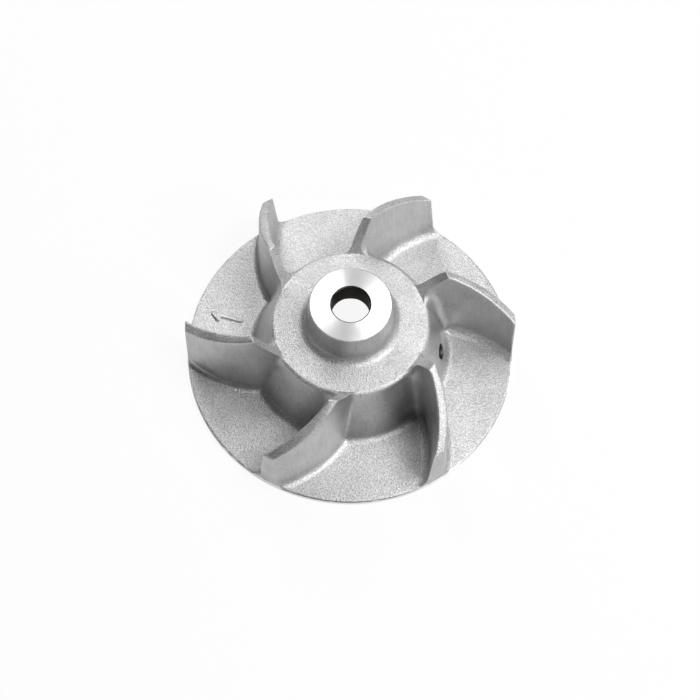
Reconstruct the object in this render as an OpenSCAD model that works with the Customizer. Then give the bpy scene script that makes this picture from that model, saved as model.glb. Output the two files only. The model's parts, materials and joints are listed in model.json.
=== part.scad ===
// Open pump impeller, cast in one piece: a flat disc, six swept vanes and a hollow hub.
// The axis is Z, and Z = 0 is the back of the disc. Each module below counts its heights
// from the floor of the disc, and the last one lifts them by the disc's thickness.

/* [Disc] */
// Outer radius of the disc at its floor
disc_r = 70; // [62:0.5:90]
// Thickness of the disc
disc_t = 2.6; // [2:0.1:8]
// Chamfer on both edges of the turned rim
rim_chamfer = 0.4; // [0.1:0.1:0.8]

/* [Hub] */
// Radius of the hub wall at the floor
hub_foot_r = 42; // [39:0.5:46]
// Radius of the hub at its shoulder
hub_top_r = 33.2; // [30:0.2:36]
// Height of the shoulder's outer edge above the floor
hub_h = 26.6; // [22:0.2:30]
// Slope of the shoulder up to the boss, in degrees
shoulder_slope = 5; // [0:0.5:10]
// Rounding of the shoulder's outer edge
shoulder_round = 2.6; // [1:0.1:4]
// Fillet between the hub and the floor
hub_fillet = 4; // [2:0.5:6]
// Thickness of the hub wall
hub_wall = 4.6; // [3:0.1:7]
// Thickness of the roof under the shoulder
hub_roof = 5; // [3:0.1:8]

/* [Boss] */
// Height of the machined face above the floor
boss_h = 43; // [38:0.2:54]
// Radius of the boss under its machined face
boss_r = 17; // [15:0.1:20]
// Draft of the boss wall, in degrees
boss_draft = 6; // [1:0.5:10]
// Fillet between the boss and the shoulder
boss_fillet = 4.5; // [2:0.5:6]
// Chamfer round the machined face
face_chamfer = 0.4; // [0.1:0.1:1]
// Diameter of the bore, a press fit on the shaft
bore_d = 15.88; // [12:0.01:20]
// Length of the bore
bore_l = 11.4; // [8:0.1:14]
// Chamfer at the bore's upper end
bore_chamfer = 0.55; // [0.2:0.05:1]
// Chamfer at the bore's lower end, where the shaft enters
entry_chamfer = 1.1; // [0.2:0.1:1.6]
// Radius of the hollow inside the boss
neck_r = 12.8; // [11:0.1:14]

/* [Vanes] */
// Number of vanes
vane_count = 6; // [3:1:8]
// Angle of the first vane's leading face at the rim, in degrees
vane_start = 5; // [0:1:30]
// Angle that the leading face sweeps from the rim to the hub, in degrees
vane_wrap = 22.4; // [16:0.2:28]
// Radius of the leading face's bend
lead_bend_r = 49; // [42:1:70]
// Radius of the trailing face's bend
trail_bend_r = 53; // [46:1:70]
// Thickness of a vane's foot at the hub
vane_root_t = 7.6; // [6:0.1:9]
// Thickness of a vane's foot at the rim
vane_tip_t = 6.8; // [5.5:0.1:9]
// Draft of both faces of a vane, in degrees
vane_draft = 3; // [1:0.1:4]
// Fillet along the foot of the leading face
lead_fillet = 3; // [1.5:0.1:5]
// Fillet along the foot of the trailing face
trail_fillet = 4.5; // [1.5:0.1:5]
// Fillet between a vane and the hub wall
root_fillet = 3; // [1.5:0.1:4]
// Radius of the top corner where the liquid enters a vane
inlet_r = 42.4; // [38:0.2:50]
// Height of that corner above the floor
inlet_h = 41.2; // [34:0.2:50]
// Height of a vane at the rim
tip_h = 25.9; // [18:0.1:32]
// How far the rim side of a vane leans in from foot to top
tip_lean = 1; // [0:0.1:2]
// Radius of the bow along the top of a vane
top_bow_r = 140; // [90:5:400]
// How far inside the shoulder's edge a vane starts
inlet_step = 1.8; // [0:0.1:3]

/* [Vent hole and mark] */
// Diameter of the vent hole through the hub wall
vent_d = 6; // [3:0.1:8]
// Height of the hole's centre above the floor
vent_z = 8; // [7:0.1:14]
// Angle of the hole, in degrees
vent_angle = -6; // [-12:1:-4]
// Height of the raised mark on the floor
mark_h = 0.6; // [0.2:0.1:1]
// Width of the mark's strokes
mark_w = 1.3; // [0.8:0.1:2]
// Distance of the mark's top from the axis
mark_r = 61.8; // [56:0.2:64]
// Angle of the mark, in degrees
mark_angle = 165; // [162:1:168]
// Length of the mark
mark_l = 12.4; // [8:0.2:14]

/* [Hidden] */
$fn = 96;
cast_colour = [0.76, 0.76, 0.77];
// How far a piece is sunk into what carries it
sink = 1;
// How far a cut runs past the surface
clear = 1;
// How far a vane and its fillets reach into the hub wall
root_depth = 2;
// How much wider a fillet's circle is than the tangent one, so that its ends meet the walls at a small angle
run_in = 1.01;
// Angle of the hub wall seen from the floor, in degrees
wall_angle = atan2(hub_h, hub_top_r - hub_foot_r);
// Where the boss wall would meet the shoulder without its fillet
boss_foot_r = (boss_r + (boss_h - hub_h - hub_top_r * tan(shoulder_slope)) * tan(boss_draft))
    / (1 - tan(shoulder_slope) * tan(boss_draft));
boss_foot_z = shoulder_z(boss_foot_r);
// Height of the ceiling of the hollow in the hub
roof_z = hub_h - hub_roof;
// Height of the bore's lower end
bore_z = boss_h - bore_l;
// Rounding of the corners inside the hollow
hollow_round = 2;
// Rounding of the edge where the boss hollow opens into the hub
neck_round = 1.5;
// Room round the hub that holds the fillets between it and a vane
fillet_room = 2 * root_fillet;
// Height over which those fillets run out below the shoulder
run_out_h = 3 * root_fillet;
// Facets round the bow's circle, of which a vane takes a short arc
bow_faces = 360;
// Facets round the vent hole
vent_faces = 48;
// Facets round the end of a stroke
stroke_faces = 24;
// Length of the mark's flag as a share of its stem
flag_share = 0.3;
// Angle between the mark's flag and its stem, in degrees
flag_angle = 35;

function polar(r, a) = [r * cos(a), r * sin(a)];
// Height of the shoulder at a radius
function shoulder_z(r) = hub_h + (hub_top_r - r) * tan(shoulder_slope);
// Radius of the hub wall at a height, moved inwards
function hub_r(z, inwards = 0) = hub_foot_r + (hub_top_r - hub_foot_r) * z / hub_h - inwards / sin(wall_angle);
// Centre of the circle of radius r through p and q that lies to the right of the way from p to q
function bend_centre(p, q, r) =
    let (way = q - p, half = norm(way) / 2)
    (p + q) / 2 + sqrt(r * r - half * half) * [way[1], -way[0]] / norm(way);

// The point where two circles meet, to the left of the way from c to d
function meet(c, rc, d, rd) =
    let (way = d - c, l = norm(way), along = (rc * rc - rd * rd + l * l) / (2 * l))
    c + (along * way + sqrt(rc * rc - along * along) * [-way[1], way[0]]) / l;
// The point at a distance from c on the way from c to p
function towards(c, p, distance) = c + (p - c) * distance / norm(p - c);
// Radius of each face of a vane at a height
function lead_r(z) = lead_bend_r - z * tan(vane_draft);
function trail_r(z) = trail_bend_r + z * tan(vane_draft);

// Plan of one vane at the floor
lead_root = polar(hub_foot_r, vane_start + vane_wrap);
lead_tip = polar(disc_r, vane_start);
lead_centre = bend_centre(lead_root, lead_tip, lead_bend_r);
trail_root = lead_root - vane_root_t * (lead_root - lead_centre) / lead_bend_r;
trail_tip = lead_tip - vane_tip_t * (lead_tip - lead_centre) / lead_bend_r;
trail_centre = bend_centre(trail_root, trail_tip, trail_bend_r);

// Piece of a corner that a tangent circle leaves over. Added, it fills an inner corner,
// and cut away, it rounds an outer one. a and b are the directions of the two edges.
module corner_2d(corner, a, b, r) {
    half = (b - a) / 2;
    middle = (a + b) / 2;
    centre = corner + polar(r / sin(half), middle);
    reach = r / tan(half);
    difference() {
        polygon([
            corner - polar(sink / 2, middle),
            corner + polar(reach, a),
            centre,
            corner + polar(reach, b)
        ]);
        translate(centre) circle(r * run_in);
    }
}

// What a chamfer takes off the outer corner of a section, at its top (side 1) or its bottom (side -1)
module chamfer_2d(corner, side, width) {
    translate(corner) polygon([
        [-width - clear, side * clear],
        [clear, side * clear],
        [clear, -side * (width + clear)]
    ]);
}

// Outer form of the disc, hub and boss, in section
module outer_section() {
    difference() {
        union() {
            translate([0, -disc_t]) square([disc_r, disc_t]);
            polygon([
                [0, -sink],
                [hub_r(-sink), -sink],
                [hub_top_r, hub_h],
                [0, shoulder_z(0)]
            ]);
            polygon([
                [0, hub_h - sink],
                [boss_foot_r + sink * tan(boss_draft), boss_foot_z - sink],
                [boss_r, boss_h],
                [0, boss_h]
            ]);
            corner_2d([hub_foot_r, 0], 0, wall_angle, hub_fillet);
            corner_2d([boss_foot_r, boss_foot_z], -shoulder_slope, 90 + boss_draft, boss_fillet);
        }
        corner_2d([hub_top_r, hub_h], 180 - shoulder_slope, 180 + wall_angle, shoulder_round);
        chamfer_2d([disc_r, 0], 1, rim_chamfer);
        chamfer_2d([disc_r, -disc_t], -1, rim_chamfer);
        chamfer_2d([boss_r, boss_h], 1, face_chamfer);
    }
}

// The hollow behind the hub with the bore above it, in section
module hollow_section() {
    difference() {
        union() {
            polygon([
                [0, -disc_t - clear],
                [hub_r(-disc_t - clear, hub_wall), -disc_t - clear],
                [hub_r(roof_z, hub_wall), roof_z],
                [0, roof_z]
            ]);
            translate([0, roof_z - sink]) square([neck_r, bore_z - roof_z + sink]);
            square([bore_d / 2, boss_h + clear]);
            corner_2d([neck_r, roof_z], 0, 90, neck_round);
        }
        corner_2d([hub_r(roof_z, hub_wall), roof_z], 180, 180 + wall_angle, hollow_round);
        corner_2d([neck_r, bore_z], 180, 270, hollow_round);
    }
    polygon([
        [0, boss_h - bore_d / 2 - bore_chamfer],
        [bore_d / 2 + bore_chamfer + clear, boss_h + clear],
        [0, boss_h + clear]
    ]);
    polygon([
        [0, bore_z - clear],
        [bore_d / 2 + entry_chamfer, bore_z - clear],
        [bore_d / 2 + entry_chamfer, bore_z],
        [0, bore_z + bore_d / 2 + entry_chamfer]
    ]);
}

module wheel() {
    rotate_extrude() difference() {
        outer_section();
        hollow_section();
    }
}

// Room that the vanes fill between the hub and the rim, in section
module vane_section() {
    inlet_foot = [hub_top_r - inlet_step, shoulder_z(hub_top_r - inlet_step) - sink];
    inlet = [inlet_r, inlet_h];
    inlet_way = inlet - inlet_foot;
    tip_foot = [disc_r - rim_chamfer / 2, -rim_chamfer / 2];
    tip = [disc_r - tip_lean, tip_h];
    tip_way = tip - tip_foot;
    intersection() {
        polygon([
            [hub_r(-sink, root_depth), -sink],
            [disc_r - sink - rim_chamfer, -sink],
            tip_foot,
            tip + tip_way * clear / tip_h,
            [inlet_r, inlet_h + tip_h],
            inlet + inlet_way * clear / inlet_h,
            inlet_foot,
            [hub_r(hub_h - root_depth, root_depth), hub_h - root_depth]
        ]);
        translate(bend_centre(inlet, tip, top_bow_r)) circle(top_bow_r, $fn = bow_faces);
    }
}

// All that lies behind the leading face, with the fillet along its foot
module lead_body() {
    top = inlet_h + sink;
    rotate_extrude() {
        polygon([
            [0, -sink],
            [lead_bend_r, -sink],
            [lead_bend_r, 0],
            [lead_r(top), top],
            [0, top]
        ]);
        corner_2d([lead_bend_r, 0], 0, 90 + vane_draft, lead_fillet);
    }
}

// All that the trailing face leaves open, without the fillet along its foot
module trail_room() {
    top = inlet_h + clear + sink;
    rotate_extrude() difference() {
        polygon([
            [0, -sink - clear],
            [trail_bend_r, -sink - clear],
            [trail_bend_r, 0],
            [trail_r(top), top],
            [0, top]
        ]);
        corner_2d([trail_bend_r, 0], 90 - vane_draft, 180, trail_fillet);
    }
}

module vane() {
    intersection() {
        rotate_extrude() vane_section();
        difference() {
            translate(lead_centre) lead_body();
            translate(trail_centre) trail_room();
        }
    }
}

// Plan of the corner between a vane's face and the hub wall at a height, out to the fillet's centre
function lead_corner(z) =
    let (
        ball = meet([0, 0], hub_r(z, -root_fillet), lead_centre, lead_r(z) + root_fillet),
        corner = meet([0, 0], hub_r(z), lead_centre, lead_r(z))
    )
    [
        towards(corner, ball, -sink),
        towards(lead_centre, ball, lead_r(z)),
        ball,
        towards([0, 0], ball, hub_r(z))
    ];
function trail_corner(z) =
    let (
        ball = meet([0, 0], hub_r(z, -root_fillet), trail_centre, trail_r(z) - root_fillet),
        corner = meet([0, 0], hub_r(z), trail_centre, trail_r(z))
    )
    [
        towards(corner, ball, -sink),
        towards([0, 0], ball, hub_r(z)),
        ball,
        towards(trail_centre, ball, trail_r(z))
    ];

// The corner between two plans, less the slanting cylinder that rolls down it
module root_corner(low, low_z, high, high_z) {
    axis = [high[2][0] - low[2][0], high[2][1] - low[2][1], high_z - low_z];
    difference() {
        polyhedron(
            concat([for (p = low) [p[0], p[1], low_z]], [for (p = high) [p[0], p[1], high_z]]),
            concat(
                [[0, 1, 2, 3], [7, 6, 5, 4]],
                [for (i = [0 : 3]) each [[i, i + 4, (i + 1) % 4 + 4], [i, (i + 1) % 4 + 4, (i + 1) % 4]]]
            )
        );
        translate([low[2][0], low[2][1], low_z])
            rotate([0, acos(axis[2] / norm(axis)), atan2(axis[1], axis[0])])
                translate([0, 0, -root_fillet]) cylinder(r = root_fillet * run_in, h = norm(axis) + fillet_room);
    }
}

// Fillets between a vane and the hub wall, which run out over the shoulder's edge
module root_fillets() {
    low = -sink / 2;
    high = hub_h;
    intersection() {
        rotate_extrude() polygon([
            [hub_r(-sink, root_depth), -sink],
            [hub_foot_r + fillet_room, -sink],
            [hub_foot_r + fillet_room, hub_h - run_out_h],
            [hub_top_r + fillet_room, hub_h - run_out_h],
            [hub_top_r - shoulder_round / 2, hub_h],
            [hub_r(hub_h - root_depth, root_depth), hub_h - root_depth]
        ]);
        union() {
            root_corner(lead_corner(low), low, lead_corner(high), high);
            root_corner(trail_corner(low), low, trail_corner(high), high);
        }
    }
}

// Cut that runs from one wall's thickness inside the hollow to one outside the hub
module vent_hole() {
    rotate([0, 0, vent_angle]) translate([hub_r(vent_z, 2 * hub_wall), 0, vent_z]) rotate([0, 90, 0])
        cylinder(d = vent_d, h = 3 * hub_wall, $fn = vent_faces);
}

// A stroke with round ends
module stroke(p, q) {
    way = q - p;
    translate(p) rotate(atan2(way[1], way[0])) translate([0, -mark_w / 2]) square([norm(way), mark_w]);
    translate(p) circle(d = mark_w, $fn = stroke_faces);
    translate(q) circle(d = mark_w, $fn = stroke_faces);
}

// A plain stroke with a flag, its top towards the rim
module mark() {
    top = [mark_r, 0];
    rotate([0, 0, mark_angle]) translate([0, 0, -sink]) linear_extrude(mark_h + sink) {
        stroke(top, top - [mark_l, 0]);
        stroke(top, top - polar(mark_l * flag_share, -flag_angle));
    }
}

module impeller() {
    color(cast_colour) translate([0, 0, disc_t]) {
        difference() {
            wheel();
            vent_hole();
        }
        for (i = [0 : vane_count - 1]) rotate([0, 0, 360 / vane_count * i]) {
            vane();
            root_fillets();
        }
        mark();
    }
}

impeller();
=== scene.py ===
"""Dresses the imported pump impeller. The solid's own surface is rounded like a casting, its turned
faces stay crisp, and both get their finish. Lengths are in millimetres unless a comment says otherwise."""

import json
import math

import bpy
import numpy as np
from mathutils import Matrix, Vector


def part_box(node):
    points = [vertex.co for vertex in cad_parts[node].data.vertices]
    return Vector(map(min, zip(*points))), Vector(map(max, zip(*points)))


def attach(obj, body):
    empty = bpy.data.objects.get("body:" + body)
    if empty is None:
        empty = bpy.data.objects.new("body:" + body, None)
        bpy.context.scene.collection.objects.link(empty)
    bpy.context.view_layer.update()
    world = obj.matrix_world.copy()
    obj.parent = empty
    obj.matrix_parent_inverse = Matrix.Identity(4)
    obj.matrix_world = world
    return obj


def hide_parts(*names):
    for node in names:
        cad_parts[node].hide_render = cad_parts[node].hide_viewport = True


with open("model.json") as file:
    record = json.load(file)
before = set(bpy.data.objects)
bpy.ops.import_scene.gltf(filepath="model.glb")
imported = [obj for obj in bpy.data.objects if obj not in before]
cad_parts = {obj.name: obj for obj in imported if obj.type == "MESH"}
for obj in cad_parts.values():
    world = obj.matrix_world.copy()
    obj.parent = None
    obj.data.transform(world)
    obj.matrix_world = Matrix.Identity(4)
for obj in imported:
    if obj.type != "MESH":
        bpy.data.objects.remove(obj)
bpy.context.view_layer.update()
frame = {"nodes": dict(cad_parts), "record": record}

import openvdb
from mathutils import Matrix, Vector

NODE = "impeller"
MM = 0.001

# The grid that the surface is worked on, the cells left free round the part, and how far distances are kept
CELL = 0.4
MARGIN_CELLS = 5
BAND = 2.4
# Rounding of the casting's outer edges
EDGE_ROUND = 0.4
# Fillet that flares out beside the foot of a vane's inlet facet, how far below that foot it is whole,
# how fast it runs out under that, and where it ends
FLARE_ROUND = 4.5
FLARE_WHOLE = 3.0
FLARE_RUN_OUT = 0.1
FLARE_END = 14.0
# Passes that run the flares into the walls, the least depth that counts as flare, and how quickly the
# passes take hold beside one
FLARE_PASSES = 8
FLARE_DEPTH = 0.03
FLARE_SPREAD = 4
# Unevenness of the casting: how long and how high its waves are
WAVE_CELL = 7.0
WAVE_HEIGHT = 0.05
WAVE_SEED = 7
# How far edges stay crisp round the inlet facets, at the vanes' tips and at the mark
FACET_LAND = 0.3
TIP_LAND = 1.6
MARK_LAND = 0.8
# How far the turned regions reach in from the rim, down and out from the boss face, out from the bore
# and up from the back
RIM_LAND = 1.8
FACE_LAND = 1.0
BORE_LAND = 1.6
BACK_LAND = 0.6
# How far the rim's region passes the disc's floor, and the bore's its lower end
RIM_PAST = 0.1
BORE_PAST = 1.0
# Width over which one kind of surface runs into the next
FADE = 1.5
# Directions in which a place is probed to tell whether it is in a hole, the least depth that counts as
# solid there, and the share of them that must be solid
HOLE_PROBES = 12
HOLE_DEPTH = 0.2
HOLE_SHARE = 0.75
# How far inside a wide face its corners' normals are taken
NORMAL_INSET = 0.6
# Share of a cell within which a point is moved onto a turned corner
SNAP_SHARE = 0.6
# How much the mesh is thinned out where it is flat
ADAPTIVITY = 0.02

# Length that a vector is taken to have at least
TINY = 1e-12
# Decimals to which the solid's points and its turned corners are rounded
POINT_DECIMALS = 3
CORNER_DECIMALS = 2
# Heights or radii less than this apart are the same, and a corner this near the rim's radius is the rim's
SAME = 0.01
RIM_REACH = 1.0
# Degrees by which two faces turn at a sharp edge
SHARP_ANGLE = 20
# An inlet facet's normal leans in by more than the first share and rises by more than the second
FACET_LEAN = 0.5
FACET_RISE = 0.3
# A face whose normal rises by more than this share is level
LEVEL_RISE = 0.9

# The mesh's measure of how sharply it bends
EDGE = "edge"
# The casting's material slots
CAST, TURNED, SHADED_BORE = range(3)

cad_low, cad_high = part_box(NODE)
DISC_R = cad_high.x / MM
TOP_Z = cad_high.z / MM


def mount(name):
    """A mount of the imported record."""
    return next(m for m in frame["record"]["mounts"] if m["name"] == name)


BORE_R = mount("shaft_bore")["dims"]["r_mm"]


def cad_surface():
    """The node's welded points, in mm, and its triangles."""
    mesh = frame["nodes"][NODE].data
    points = np.zeros(len(mesh.vertices) * 3)
    mesh.vertices.foreach_get("co", points)
    points = points.reshape(-1, 3) / MM
    mesh.calc_loop_triangles()
    triangles = np.zeros(len(mesh.loop_triangles) * 3, np.int32)
    mesh.loop_triangles.foreach_get("vertices", triangles)
    rounded = np.round(points, POINT_DECIMALS)
    _, first, place = np.unique(rounded, axis=0, return_index=True, return_inverse=True)
    triangles = place.reshape(-1)[triangles].reshape(-1, 3)
    whole = (triangles != np.roll(triangles, 1, axis=1)).all(axis=1)
    return points[first], triangles[whole]


def unit(vectors):
    """The vectors, each made 1 long."""
    return vectors / np.maximum(np.linalg.norm(vectors, axis=-1, keepdims=True), TINY)


def face_normals(points, triangles):
    a, b, c = (points[triangles[:, k]] for k in range(3))
    return unit(np.cross(b - a, c - a))


class Grid:
    """The cells that hold the part, and the fields of distance on them."""

    def __init__(self):
        low = np.floor(np.array(cad_low) / MM / CELL).astype(int) - MARGIN_CELLS
        high = np.ceil(np.array(cad_high) / MM / CELL).astype(int) + MARGIN_CELLS
        self.origin = tuple(int(n) for n in low)
        self.shape = tuple(int(n) for n in high - low + 1)
        self.transform = openvdb.createLinearTransform(voxelSize=CELL)
        axes = [(np.arange(n) + start) * CELL for n, start in zip(self.shape, self.origin)]
        x, y = np.meshgrid(axes[0], axes[1], indexing="ij")
        self.radius = np.hypot(x, y)[:, :, None].astype(np.float32)
        self.z = axes[2][None, None, :].astype(np.float32)

    def level_set(self, points, triangles, quads=None, band=BAND):
        """Signed distance to a closed surface, negative inside."""
        faces = {"triangles": triangles.astype(np.uint32)}
        if quads is not None:
            faces["quads"] = quads.astype(np.uint32)
        return openvdb.FloatGrid.createLevelSetFromPolygons(
            points.astype(np.float32), transform=self.transform, halfWidth=band / CELL, **faces
        )

    def values(self, level_set):
        """The distance in every cell."""
        out = np.zeros(self.shape, np.float32)
        level_set.copyToArray(out, ijk=self.origin)
        return out

    def surface(self, values, adaptivity=0):
        """Points, triangles and quads where the distance is 0."""
        level_set = openvdb.FloatGrid(BAND)
        level_set.transform = self.transform
        level_set.copyFromArray(values, ijk=self.origin)
        return level_set.convertToPolygons(isovalue=0, adaptivity=adaptivity)

    def moved(self, surface, distance):
        """Distances to a surface that is moved out and back, or in and back if the distance is negative."""
        band = max(BAND, abs(distance) + 2 * CELL)
        there = self.level_set(*surface, band=band).convertToPolygons(isovalue=distance, adaptivity=0)
        return self.values(self.level_set(*there, band=band)) + distance

    def sample(self, values, points):
        """A field's value at each point, between the cells."""
        at = points / CELL - np.array(self.origin)
        low = np.floor(at).astype(int)
        share = at - low
        total = 0
        for corner in np.ndindex(2, 2, 2):
            weight = np.prod(np.where(corner, share, 1 - share), axis=1)
            index = low + np.array(corner)
            total = total + weight * values[index[:, 0], index[:, 1], index[:, 2]]
        return total

    def waves(self, rng):
        """Smooth random height over the whole grid, about -1 to 1."""
        coarse = [int(n * CELL / WAVE_CELL) + 2 for n in self.shape]
        values = rng.standard_normal(coarse).astype(np.float32)
        for axis, count in enumerate(self.shape):
            at = np.arange(count) * CELL / WAVE_CELL
            low = at.astype(int)
            share = (at - low).astype(np.float32)
            share = share * share * (3 - 2 * share)
            shape = [1, 1, 1]
            shape[axis] = -1
            share = share.reshape(shape)
            values = np.take(values, low, axis) * (1 - share) + np.take(values, low + 1, axis) * share
        return values


def box_blur(values):
    """Mean of each cell and its neighbours along the three axes."""
    for axis in range(3):
        values = (np.roll(values, 1, axis) + values + np.roll(values, -1, axis)) / 3
    return values


def turned_corners(points, triangles):
    """Radius and height of each sharp circle that a lathe left."""
    normals = face_normals(points, triangles)
    edges = np.concatenate([triangles[:, [0, 1]], triangles[:, [1, 2]], triangles[:, [2, 0]]])
    owner = np.tile(np.arange(len(triangles)), 3)
    key = np.sort(edges, axis=1)
    order = np.lexsort((key[:, 1], key[:, 0]))
    a, b = order[0::2], order[1::2]
    sharp = (normals[owner[a]] * normals[owner[b]]).sum(axis=1) < math.cos(math.radians(SHARP_ANGLE))
    ends = key[a[sharp]]
    where = np.stack([np.hypot(points[:, 0], points[:, 1]), points[:, 2]], axis=1)
    level = np.abs(where[ends[:, 0]] - where[ends[:, 1]]).max(axis=1) < SAME
    return np.unique(np.round(where[ends[level].ravel()], CORNER_DECIMALS), axis=0)


def near(corners, low, high):
    """The corners whose radius lies between two others."""
    return corners[(corners[:, 0] > low) & (corners[:, 0] < high)]


def floor_height(corners):
    """Height of the disc's floor, which is the rim's upper corner."""
    return near(corners, DISC_R - RIM_REACH, DISC_R + RIM_REACH)[:, 1].max()


def inlet_cone(points, triangles):
    """Radius, height and rise at the foot of the cone on which the vanes' inlet facets lie."""
    normals = face_normals(points, triangles)
    middles = points[triangles].mean(axis=1)
    lean = (normals[:, :2] * unit(middles[:, :2])).sum(axis=1)
    high = (middles[:, 2] > TOP_Z / 2) & (np.hypot(middles[:, 0], middles[:, 1]) > DISC_R / 4)
    facet = (lean < -FACET_LEAN) & (normals[:, 2] > FACET_RISE) & high
    at = points[np.unique(triangles[facet])]
    radius = np.hypot(at[:, 0], at[:, 1])
    rise, start = np.polyfit(radius, at[:, 2], 1)
    foot = radius.min()
    return foot, start + rise * foot, rise


def turned_region(radius, z, corners):
    """Negative in the regions that a lathe cut: the rim, the boss face, the bore and the back."""
    face_r = corners[corners[:, 1] > TOP_Z - SAME][:, 0].max()
    bore_low = near(corners, 0, BORE_R + BORE_LAND)[:, 1].min()
    rim = np.maximum(DISC_R - RIM_LAND - radius, z - floor_height(corners) - RIM_PAST)
    face = np.maximum(radius - face_r - FACE_LAND, TOP_Z - FACE_LAND - z)
    bore = np.maximum(radius - BORE_R - BORE_LAND, bore_low - BORE_PAST - z)
    back = z - BACK_LAND + 0 * radius
    return np.minimum(np.minimum(rim, face), np.minimum(bore, back))


class Casting:
    """The casting's refined surface, with the fields that it came from."""

    def __init__(self):
        points, triangles = cad_surface()
        self.corners = turned_corners(points, triangles)
        self.grid = Grid()
        self.solid = self.grid.values(self.grid.level_set(points, triangles))
        self.field = self.refined(points, triangles)
        points, self.triangles, self.quads = self.grid.surface(self.field, ADAPTIVITY)
        self.points = self.snapped(points.astype(float))

    def refined(self, points, triangles):
        """The solid's field with the vanes' feet flared and the cast edges rounded."""
        grid = self.grid
        foot_r, foot_z, rise = inlet_cone(points, triangles)
        # A fillet rolled round the vanes' feet, cut off by the cone of the inlet facets
        above = (grid.z - foot_z - rise * (grid.radius - foot_r)) / math.hypot(1, rise)
        below = foot_z - grid.z
        run_out = FLARE_RUN_OUT * np.maximum(below - FLARE_WHOLE, 0)
        flare = grid.moved((points, triangles), FLARE_ROUND) + run_out
        flared = np.minimum(self.solid, np.maximum(flare, np.maximum(above, below - FLARE_END)))

        rounded = box_blur(grid.moved(grid.surface(flared), -EDGE_ROUND))
        blended = rounded
        filled = (flared < self.solid - FLARE_DEPTH).astype(np.float32)
        for _ in range(FLARE_PASSES):
            blended, filled = box_blur(blended), box_blur(filled)
        rounded = rounded + np.clip(FLARE_SPREAD * filled, 0, 1) * (blended - rounded)
        rounded += WAVE_HEIGHT * grid.waves(np.random.default_rng(WAVE_SEED))

        # Crisp where a lathe cut, round the inlet facets, at the tips and at the mark
        crisp = np.minimum(np.abs(above) - FACET_LAND, DISC_R - TIP_LAND - grid.radius)
        crisp = np.minimum(crisp, grid.z - floor_height(self.corners) - MARK_LAND)
        region = turned_region(grid.radius, grid.z, self.corners)
        share = np.clip(np.minimum(crisp, region) / FADE, 0, 1)
        tips = grid.radius > DISC_R - TIP_LAND - FADE
        sharp = np.where(tips, box_blur(flared), flared)
        cast = sharp + share * (rounded - sharp)
        return np.minimum(cast, np.maximum(self.solid, region))

    def snapped(self, points):
        """The points, with those beside a turned corner moved onto it and all kept within the solid's box."""
        radius = np.hypot(points[:, 0], points[:, 1])
        where = np.stack([radius, points[:, 2]], axis=1)
        inside = turned_region(radius, points[:, 2], self.corners) < 0
        gaps = np.linalg.norm(where[:, None] - self.corners[None], axis=2)
        snap = inside & (gaps.min(axis=1) < SNAP_SHARE * CELL)
        target = self.corners[gaps.argmin(axis=1)[snap]]
        points[snap, :2] *= (target[:, 0] / radius[snap])[:, None]
        points[snap, 2] = target[:, 1]
        points[:, :2] *= np.minimum(DISC_R / np.hypot(points[:, 0], points[:, 1]), 1)[:, None]
        points[:, 2] = points[:, 2].clip(0, TOP_Z)
        return points

    def normals(self, places):
        """The surface's slope at each place."""
        sides = []
        for step in np.eye(3) * CELL / 2:
            there, here = (self.grid.sample(self.field, places + way) for way in (step, -step))
            sides.append(there - here)
        return unit(np.stack(sides, axis=1))

    def bends(self, places):
        """How sharply the surface bends at each place, above 0 on an edge and below it in a corner."""
        blurred = box_blur(box_blur(self.field))
        return self.grid.sample(blurred - self.field, places) / CELL

    def in_hole(self, places):
        """Whether each place lies where the wheel is solid nearly all the way round."""
        radius = np.hypot(places[:, 0], places[:, 1])
        filled = np.zeros(len(places), int)
        # Probes stand in the middles of equal parts of a turn
        for way in np.radians(np.arange(HOLE_PROBES) + 0.5) * 360 / HOLE_PROBES:
            ring = np.stack([radius * np.cos(way), radius * np.sin(way), places[:, 2]], axis=1)
            filled += self.grid.sample(self.solid, ring) < -HOLE_DEPTH
        return filled > HOLE_PROBES * HOLE_SHARE


def facing_out(points, triangles, quads):
    """The faces, turned round if they face into the solid."""
    a, b, c, d = (points[quads[:, k]] for k in range(4))
    volume = (a * np.cross(b - d, c)).sum()
    if volume < 0:
        return triangles[:, ::-1], quads[:, ::-1]
    return triangles, quads


def bare_mesh(name, points, triangles, quads):
    """The faces as a mesh, with how many corners each has and the point at each corner."""
    counts = np.concatenate([np.full(len(quads), 4), np.full(len(triangles), 3)])
    loops = np.concatenate([quads.ravel(), triangles.ravel()]).astype(np.int32)
    starts = np.concatenate([[0], np.cumsum(counts)[:-1]])
    mesh = bpy.data.meshes.new(name)
    mesh.vertices.add(len(points))
    mesh.vertices.foreach_set("co", (points * MM).astype(np.float32).ravel())
    mesh.loops.add(len(loops))
    mesh.loops.foreach_set("vertex_index", loops)
    mesh.polygons.add(len(counts))
    mesh.polygons.foreach_set("loop_start", starts.astype(np.int32))
    mesh.update(calc_edges=True)
    return mesh, counts, loops


def of_faces(mesh, measure):
    """A vector of each face: its normal or its centre."""
    values = np.zeros(len(mesh.polygons) * 3, np.float32)
    mesh.polygons.foreach_get(measure, values)
    return values.reshape(-1, 3)


def turned_normals(centres, ways, points):
    """Normals of a turned surface: each face's slope, turned to where the corner is."""
    out = unit(centres[:, :2])
    slope = (ways[:, :2] * out).sum(axis=1)
    here = unit(points[:, :2])
    return unit(np.concatenate([here * slope[:, None], ways[:, 2:]], axis=1))


def cast_normals(casting, centres, points):
    """Normals of the field, taken a little inside a wide face, so that its edge's rounding stays there."""
    inward = centres - points
    reach = np.linalg.norm(inward, axis=1, keepdims=True)
    inward *= np.clip(reach - CELL, 0, NORMAL_INSET) / np.maximum(reach, CELL)
    return casting.normals(points + inward)


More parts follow.
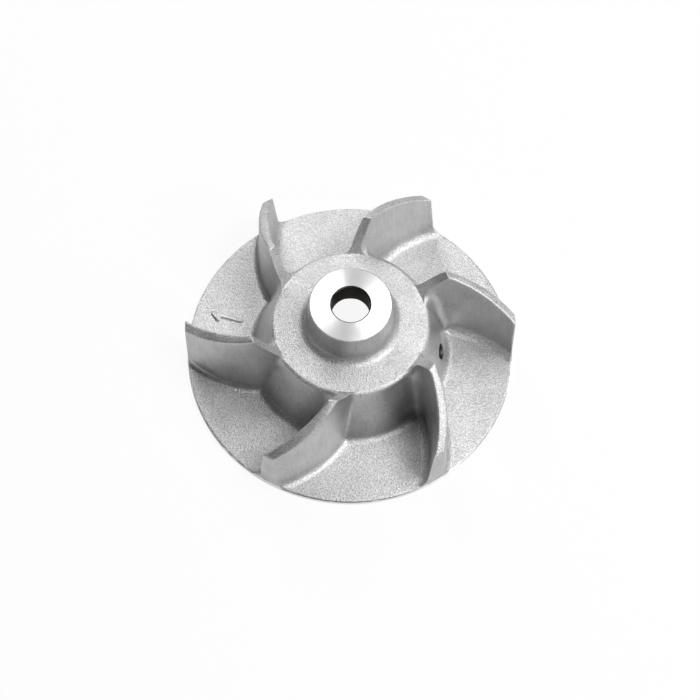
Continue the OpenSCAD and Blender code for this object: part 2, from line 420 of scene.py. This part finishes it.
def casting_mesh(name):
    """A mesh of the refined surface, with its normals, its bends and a finish for each face."""
    casting = Casting()
    points = casting.points
    faces = facing_out(points, casting.triangles, casting.quads)
    mesh, counts, loops = bare_mesh(name, points, *faces)
    bends = mesh.attributes.new(EDGE, "FLOAT", "POINT").data
    bends.foreach_set("value", casting.bends(points).astype(np.float32))

    ways = of_faces(mesh, "normal")
    middles = of_faces(mesh, "center") / MM
    radius = np.hypot(middles[:, 0], middles[:, 1])
    turned = turned_region(radius, middles[:, 2], casting.corners) < 0
    rim_floor = (radius > DISC_R / 2) & (ways[:, 2] > LEVEL_RISE)
    boss_side = (radius > BORE_R + BORE_LAND) & (middles[:, 2] > TOP_Z / 2) & (ways[:, 2] < LEVEL_RISE)
    turned &= ~(rim_floor | boss_side)
    # Faces in the bore and in holes, which get the near-black finish of painted shade
    shaded_bore = turned & (radius < BORE_R + BORE_LAND) & (np.abs(ways[:, 2]) < LEVEL_RISE)
    shaded_bore |= casting.in_hole(middles.astype(float))

    owner = np.repeat(np.arange(len(counts)), counts)
    cast = cast_normals(casting, middles[owner], points[loops])
    lathe = turned_normals(middles[owner], ways[owner], points[loops])
    mesh.normals_split_custom_set(np.where(turned[owner][:, None], lathe, cast).tolist())
    finish = np.where(shaded_bore, SHADED_BORE, np.where(turned, TURNED, CAST))
    mesh.polygons.foreach_set("material_index", finish.astype(np.int32))
    return mesh


def add(name, data):
    """An object in the scene."""
    piece = bpy.data.objects.new(name, data)
    bpy.context.scene.collection.objects.link(piece)
    return piece


class Nodes:
    """The nodes of a material or of the world, each made in one call."""

    def __init__(self, owner):
        self.owner = owner
        owner.use_nodes = True
        self.tree = owner.node_tree
        self.shader = self.tree.nodes.get("Principled BSDF")
        self.output = self.tree.nodes.get("Material Output")

    def put(self, socket, value):
        """Links the socket to another, or sets its value."""
        if isinstance(value, bpy.types.NodeSocket):
            self.tree.links.new(value, socket)
        else:
            socket.default_value = value

    def add(self, kind, settings=None, inputs=None):
        """Makes a node and gives its outputs."""
        made = self.tree.nodes.new("ShaderNode" + kind)
        for name, value in (settings or {}).items():
            setattr(made, name, value)
        for name, value in (inputs or {}).items():
            self.put(made.inputs[name], value)
        return made.outputs

    def place(self):
        """Where a point of the surface is, in metres."""
        return self.add("TexCoord")["Object"]

    def parts(self, vector):
        """A vector's X, Y and Z."""
        return self.add("SeparateXYZ", inputs={"Vector": vector})

    def joined(self, **parts):
        """A vector of the parts that are given, its others 0."""
        return self.add("CombineXYZ", inputs=parts)["Vector"]

    def vector(self, operation, *inputs):
        return self.add("VectorMath", {"operation": operation}, dict(enumerate(inputs)))

    def math(self, operation, *inputs):
        return self.add("Math", {"operation": operation}, dict(enumerate(inputs)))["Value"]

    def total(self, first, *rest):
        for value in rest:
            first = self.math("ADD", first, value)
        return first

    def noise(self, size, detail=2, place=None):
        """Noise whose features are about the given size, in millimetres."""
        inputs = {"Vector": place or self.place(), "Scale": 1 / (size * MM), "Detail": detail}
        return self.add("TexNoise", inputs=inputs)["Fac"]

    def ramp(self, value, low, high, start, end, smooth=False):
        """The value's way from low to high, mapped to the way from start to end."""
        kind = "SMOOTHSTEP" if smooth else "LINEAR"
        inputs = {"Value": value, "From Min": low, "From Max": high, "To Min": start, "To Max": end}
        return self.add("MapRange", {"interpolation_type": kind}, inputs)["Result"]

    def paint(self, value, dark, light):
        """Gives the shader a colour between two others, by a value from 0 to 1."""
        made = self.tree.nodes.new("ShaderNodeValToRGB")
        made.color_ramp.elements[0].color = (*dark, 1)
        made.color_ramp.elements[1].color = (*light, 1)
        self.put(made.inputs["Fac"], value)
        self.put(self.shader.inputs["Base Color"], made.outputs["Color"])

    def bump(self, height, depth):
        """Gives the shader relief, its depth in millimetres."""
        made = self.add("Bump", inputs={"Height": height, "Distance": depth * MM})
        self.put(self.shader.inputs["Normal"], made["Normal"])


# Between these values lies most of a noise, and this is its mean
NOISE_RANGE = (0.3, 0.7)
NOISE_MEAN = 0.5

# Sizes of the casting's grain and mottling, and of the drawn marks on its walls, which their pattern's
# scale along the height draws out
GRAIN_SIZE = 0.55
MOTTLE_SIZE = 9.0
DRAWN_SIZE = 1.1
DRAWN_SCALE = (1, 1, 0.12)
# How deep the grain is, and the marks' share of that
GRAIN_DEPTH = 0.24
DRAWN_DEPTH = 0.15
# Rise of the normal over which a wall turns into a floor, and the share of grain that a wall keeps
WALL_TO_FLOOR = (0.3, 0.75)
WALL_GRAIN = 0.35
# What mottling, specks and marks add to the tone, and what painted shade on a steep wall takes from it
MOTTLE_TONE = 0.4
SPECK_TONE = 0.85
DRAWN_TONE = 0.35
WALL_SHADE_TONE = 0.335
# Bend over which an edge gets lighter, as wear and as a painted highlight along it, and what that adds to the
# tone
EDGE_WEAR_HIGHLIGHT_BEND = (0.2, 0.7)
EDGE_WEAR_HIGHLIGHT_TONE = 0.25
# The tone's range, and the colours at its ends
TONE_RANGE = (-0.1, 0.5)
CAST_DARK = (0.42, 0.417, 0.42)
CAST_LIGHT = (0.84, 0.836, 0.84)
# The casting's roughness, what a wall takes from it, and what a hollow takes, over its range of bend
CAST_ROUGH = (0.5, 0.6)
WALL_GLOSS = 0.12
HOLLOW_GLOSS = 0.12
HOLLOW_BEND = (-0.16, -0.04)


def cast_aluminium():
    """Blasted casting: grainy where it faces up or down, with drawn marks down the steep walls, painted shade
    on those walls, and wear with a painted highlight on sharp edges.
    """
    nodes = Nodes(bpy.data.materials.new("cast_aluminium"))
    rise = nodes.math("ABSOLUTE", nodes.parts(nodes.add("TexCoord")["Normal"])["Z"])
    flat = nodes.ramp(rise, *WALL_TO_FLOOR, WALL_GRAIN, 1, smooth=True)
    steep = nodes.math("SUBTRACT", 1, flat)
    drawn_place = nodes.vector("MULTIPLY", nodes.place(), DRAWN_SCALE)["Vector"]
    drawn = nodes.math("MULTIPLY", nodes.noise(DRAWN_SIZE, place=drawn_place), steep)
    grain = nodes.math("MULTIPLY", nodes.noise(GRAIN_SIZE, detail=1), flat)
    nodes.bump(nodes.total(grain, nodes.math("MULTIPLY", drawn, DRAWN_DEPTH)), GRAIN_DEPTH)

    mottle = nodes.noise(MOTTLE_SIZE, detail=4)
    speck = nodes.math("SUBTRACT", nodes.noise(GRAIN_SIZE, detail=0), NOISE_MEAN)
    edge = nodes.add("Attribute", {"attribute_name": EDGE})["Fac"]
    tone = nodes.total(
        nodes.math("MULTIPLY", mottle, MOTTLE_TONE),
        nodes.math("MULTIPLY", nodes.math("MULTIPLY", speck, flat), SPECK_TONE),
        nodes.math("MULTIPLY", drawn, DRAWN_TONE),
        # Painted shade: steep walls darker than floors
        nodes.math("MULTIPLY", steep, -WALL_SHADE_TONE),
        # Wear and a painted highlight: sharp edges lighter
        nodes.ramp(edge, *EDGE_WEAR_HIGHLIGHT_BEND, 0, EDGE_WEAR_HIGHLIGHT_TONE),
    )
    nodes.paint(nodes.ramp(tone, *TONE_RANGE, 0, 1), CAST_DARK, CAST_LIGHT)
    rough = nodes.total(
        nodes.ramp(mottle, *NOISE_RANGE, *CAST_ROUGH),
        nodes.math("MULTIPLY", steep, -WALL_GLOSS),
        nodes.ramp(edge, *HOLLOW_BEND, -HOLLOW_GLOSS, 0),
    )
    nodes.put(nodes.shader.inputs["Roughness"], rough)
    nodes.shader.inputs["Metallic"].default_value = 1
    return nodes.owner


# Width of the rings that a lathe left, their depth, and the size of the patches in the finish
RING_SIZE = 0.16
RING_DEPTH = 0.004
TURNED_SIZE = 3.0
TURNED_DARK = (0.92, 0.92, 0.925)
TURNED_LIGHT = (0.97, 0.97, 0.975)
TURNED_ROUGH = (0.28, 0.33)
# How far the rings draw a highlight out, and the share of a turn from their way to the highlight's
RING_STREAK = 0.7
RING_TURN = 0.25


def turned_aluminium():
    """Bright turned faces, with fine rings that a lathe left."""
    nodes = Nodes(bpy.data.materials.new("turned_aluminium"))
    parts = nodes.parts(nodes.place())
    radius = nodes.vector("LENGTH", nodes.joined(X=parts["X"], Y=parts["Y"]))["Value"]
    rings = nodes.joined(X=radius, Y=parts["Z"])
    nodes.bump(nodes.noise(RING_SIZE, place=rings), RING_DEPTH)
    tone = nodes.noise(TURNED_SIZE, detail=3)
    nodes.paint(tone, TURNED_DARK, TURNED_LIGHT)
    nodes.put(nodes.shader.inputs["Roughness"], nodes.ramp(tone, *NOISE_RANGE, *TURNED_ROUGH))
    around = nodes.add("Tangent", {"direction_type": "RADIAL", "axis": "Z"})["Tangent"]
    nodes.put(nodes.shader.inputs["Tangent"], around)
    nodes.shader.inputs["Anisotropic"].default_value = RING_STREAK
    nodes.shader.inputs["Anisotropic Rotation"].default_value = RING_TURN
    nodes.shader.inputs["Metallic"].default_value = 1
    return nodes.owner


# Size of the patches on the wall of the bore and the holes, and of its scratches, and how deep they are
BORED_SIZE = 2.0
SCRATCH_SIZE = 0.3
SCRATCH_DEPTH = 0.01
# Near-black colours of the wall of the bore and holes: painted shade, over the dull wall's own darker tone
BORE_SHADE_DARK = (0.06, 0.055, 0.045)
BORE_SHADE_LIGHT = (0.11, 0.102, 0.088)
BORED_ROUGH = (0.35, 0.5)


def shaded_bore_aluminium():
    """The dull wall of a bore or a drilled hole, painted near black as shade."""
    nodes = Nodes(bpy.data.materials.new("shaded_bore_aluminium"))
    nodes.bump(nodes.noise(SCRATCH_SIZE), SCRATCH_DEPTH)
    tone = nodes.noise(BORED_SIZE, detail=3)
    nodes.paint(tone, BORE_SHADE_DARK, BORE_SHADE_LIGHT)
    nodes.put(nodes.shader.inputs["Roughness"], nodes.ramp(tone, *NOISE_RANGE, *BORED_ROUGH))
    nodes.shader.inputs["Metallic"].default_value = 1
    return nodes.owner


# The photograph's view, worked out from the six vanes. Where it looks and how far away it is are in metres,
# its angles in degrees, and its shift is a share of the picture's width
LOOK_AT = Vector((0, 0, 0.0026))
ELEVATION = 64.8
DISTANCE = 0.6776
ROLL = 0.93
LENS = 80.69
SHIFT_Y = -0.0012


def photo_camera():
    data = bpy.data.cameras.new("camera")
    data.lens = LENS
    data.shift_y = SHIFT_Y
    made = add("camera", data)
    up = math.radians(ELEVATION)
    back = Vector((0, -math.cos(up), math.sin(up)))
    made.location = LOOK_AT + back * DISTANCE
    made.rotation_mode = "QUATERNION"
    roll = Matrix.Rotation(math.radians(ROLL), 3, "Z").to_quaternion()
    made.rotation_quaternion = (-back).to_track_quat("-Z", "Y") @ roll
    bpy.context.scene.camera = made


# Half the floor's width in metres, its gap under the part, and its grey
FLOOR_HALF = 3.0
FLOOR_DROP = 0.05
FLOOR_GREY = 0.9
# Shares of plain white in what the camera sees of the floor, and in what the metal mirrors of it
SEEN_WHITE = 0.92
MIRRORED_WHITE = 0.34
# How far back the floor is seen through the bore
SEEN_DEPTH = 22.0


def white_floor(nodes):
    """1 where the floor shows white: around the disc, where it is seen through the bore, and from below."""
    place = nodes.place()
    radius = nodes.vector("LENGTH", place)["Value"]
    around = nodes.math("GREATER_THAN", radius, (DISC_R - RIM_LAND) * MM)
    reach = SEEN_DEPTH * MM
    depth = nodes.ramp(nodes.parts(place)["Y"], 0, reach, 0, reach)
    apart = nodes.vector("DISTANCE", place, nodes.joined(Y=depth))["Value"]
    through_bore = nodes.math("LESS_THAN", apart, (BORE_R + BORE_LAND) * MM)
    below = nodes.add("NewGeometry")["Backfacing"]
    return nodes.math("MAXIMUM", nodes.math("MAXIMUM", through_bore, around), below)


def floor():
    """A pale floor that shows white, save in the hollow behind the hub, where it is dark."""
    h = FLOOR_HALF
    corners = [(-h, -h), (h, -h), (h, h), (-h, h)]
    data = bpy.data.meshes.new("floor")
    data.from_pydata([(x, y, -FLOOR_DROP * MM) for x, y in corners], [], [range(4)])
    piece = add("floor", data)
    nodes = Nodes(bpy.data.materials.new("floor"))
    nodes.shader.inputs["Base Color"].default_value = (FLOOR_GREY, FLOOR_GREY, FLOOR_GREY, 1)
    nodes.shader.inputs["Roughness"].default_value = 1
    nodes.shader.inputs["Specular IOR Level"].default_value = 0
    path = nodes.add("LightPath")
    clear = nodes.math("MAXIMUM", path["Is Camera Ray"], path["Is Transmission Ray"])
    seen = nodes.math("MULTIPLY", clear, SEEN_WHITE)
    mirrored = nodes.math("MULTIPLY", path["Is Glossy Ray"], MIRRORED_WHITE)
    share = nodes.math("MULTIPLY", nodes.math("MAXIMUM", seen, mirrored), white_floor(nodes))
    white = nodes.add("Emission")["Emission"]
    surface = nodes.add("MixShader", inputs={0: share, 1: nodes.shader.outputs["BSDF"], 2: white})
    nodes.put(nodes.output.inputs["Surface"], surface["Shader"])
    data.materials.append(nodes.owner)


# What the metal mirrors of the room near the horizon, and the heights, as sines, between which that fades
MIRRORED_ROOM = 0.07
ROOM_FADE = (0.3, 0.75)


def room():
    """White to the camera, dim near the horizon in what the metal mirrors, and dark otherwise."""
    world = bpy.data.worlds.new("world")
    bpy.context.scene.world = world
    nodes = Nodes(world)
    path = nodes.add("LightPath")
    height = nodes.parts(nodes.add("TexCoord")["Generated"])["Z"]
    low = nodes.ramp(height, *ROOM_FADE, MIRRORED_ROOM, 0, smooth=True)
    mirrored = nodes.math("MULTIPLY", path["Is Glossy Ray"], low)
    background = nodes.tree.nodes["Background"].inputs
    background["Color"].default_value = (1, 1, 1, 1)
    nodes.put(background["Strength"], nodes.math("MAXIMUM", path["Is Camera Ray"], mirrored))


# Width of each lamp and its distance from the part, in metres
LAMP_SIZE = 0.45
LAMP_DISTANCE = 1.2


def lamp(name, azimuth, elevation, strength):
    """A round soft lamp that shines at the part. Its azimuth counts from the front and its elevation from
    the floor, both in degrees, and its strength is in watts."""
    data = bpy.data.lights.new(name, "AREA")
    data.shape = "DISK"
    data.size = LAMP_SIZE
    data.energy = strength
    made = add(name, data)
    a, e = math.radians(azimuth), math.radians(elevation)
    way = Vector((math.sin(a) * math.cos(e), -math.cos(a) * math.cos(e), math.sin(e)))
    made.location = way * LAMP_DISTANCE
    made.rotation_mode = "QUATERNION"
    made.rotation_quaternion = (-way).to_track_quat("-Z", "Y")
    made.visible_camera = False


casting = add("impeller_casting", casting_mesh("impeller_casting"))
for finish in (cast_aluminium, turned_aluminium, shaded_bore_aluminium):
    casting.data.materials.append(finish())
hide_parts(NODE)
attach(casting, "root")

photo_camera()
floor()
# Lamps all round, their strengths set by the photograph's shading
lamp("right_high", 90, 60, 4.0)
lamp("back_low", 198, 35, 4.1)
lamp("right_low", 54, 35, 3.6)
lamp("right_front", 58, 64, 4.0)
lamp("back_right", 152, 60, 1.7)
lamp("back_left", 208, 60, 1.6)
lamp("right_side", 108, 8, 1.5)
room()
bpy.context.scene.view_settings.view_transform = "Standard"
